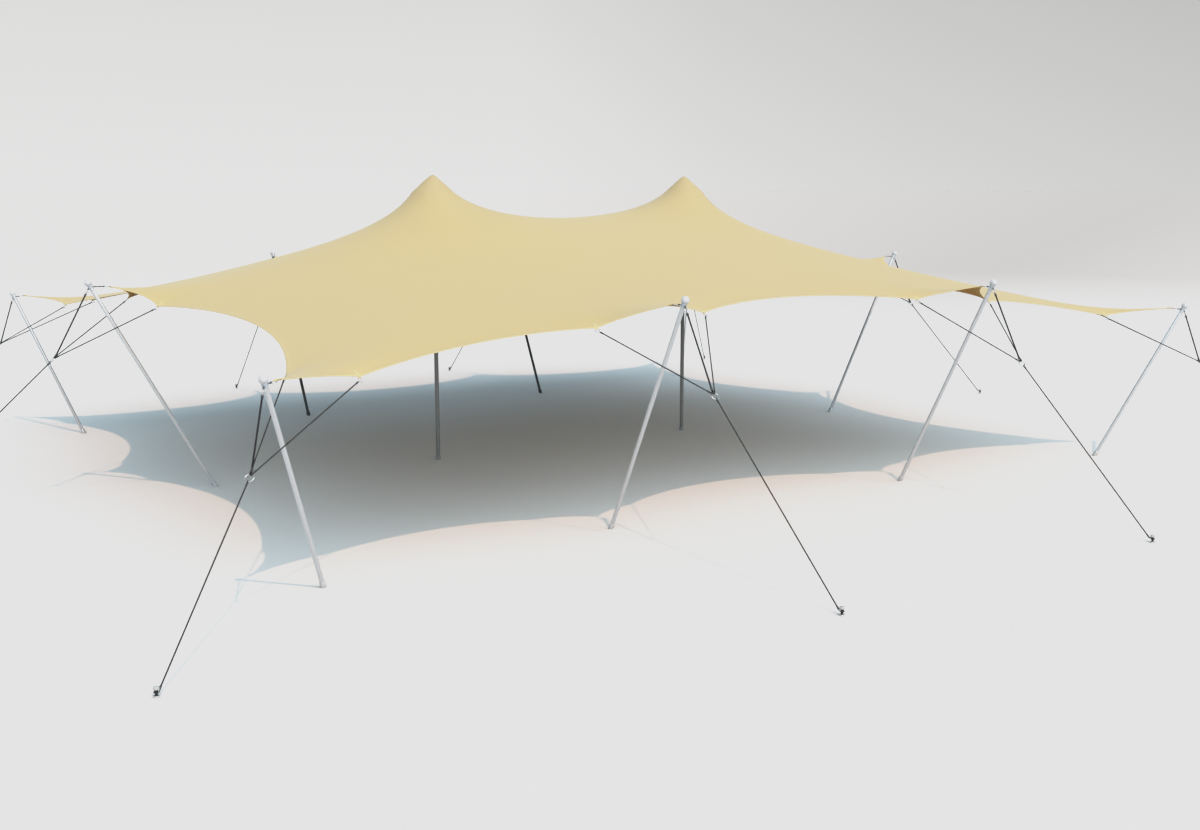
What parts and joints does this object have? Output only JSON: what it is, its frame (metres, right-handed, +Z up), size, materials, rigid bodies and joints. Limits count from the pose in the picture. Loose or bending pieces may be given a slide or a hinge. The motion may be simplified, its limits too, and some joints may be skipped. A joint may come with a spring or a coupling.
{
  "type": "stretch tent",
  "caption": "Stretched fabric sheet over king poles, held out by leaning side poles with rope bridles and guy ropes to ground stakes.",
  "frame": {"origin": "on the ground under the middle of the sheet", "axes": "+X along the tent's length, over both king poles; +Y across it; +Z up"},
  "size_m": [18.498, 16.878, 4.005],
  "materials": {
    "cloth": "sand coloured stretch fabric, matt",
    "tube": "satin grey tube",
    "head": "pale satin metal",
    "cap": "pale matt plastic",
    "rope": "dark braided rope with bare metal rings",
    "stake": "dull steel with a pale cap"
  },
  "bodies": {
    "root": {"canopy": "cloth", "king_pole_left": "tube", "king_cap_left": "cap", "king_pole_right": "tube", "king_cap_right": "cap", "side_pole_front_left_corner": "tube", "pole_head_front_left_corner": "head", "guy_set_front_left_corner": "rope", "ground_stake_front_left_corner": "stake", "side_pole_front_left": "tube", "pole_head_front_left": "head", "guy_set_front_left": "rope", "ground_stake_front_left": "stake", "side_pole_front_right": "tube", "pole_head_front_right": "head", "guy_set_front_right": "rope", "ground_stake_front_right": "stake", "side_pole_front_right_corner": "tube", "pole_head_front_right_corner": "head", "guy_set_front_right_corner": "rope", "ground_stake_front_right_corner": "stake", "side_pole_right_end": "tube", "pole_head_right_end": "head", "guy_set_right_end": "rope", "ground_stake_right_end": "stake", "side_pole_back_right_corner": "tube", "pole_head_back_right_corner": "head", "guy_set_back_right_corner": "rope", "ground_stake_back_right_corner": "stake", "side_pole_back_right": "tube", "pole_head_back_right": "head", "guy_set_back_right": "rope", "ground_stake_back_right": "stake", "side_pole_back_left": "tube", "pole_head_back_left": "head", "guy_set_back_left": "rope", "ground_stake_back_left": "stake", "side_pole_back_left_corner": "tube", "pole_head_back_left_corner": "head", "guy_set_back_left_corner": "rope", "ground_stake_back_left_corner": "stake", "side_pole_left_end": "tube", "pole_head_left_end": "head", "guy_set_left_end": "rope", "ground_stake_left_end": "stake"}
  },
  "joints": []
}
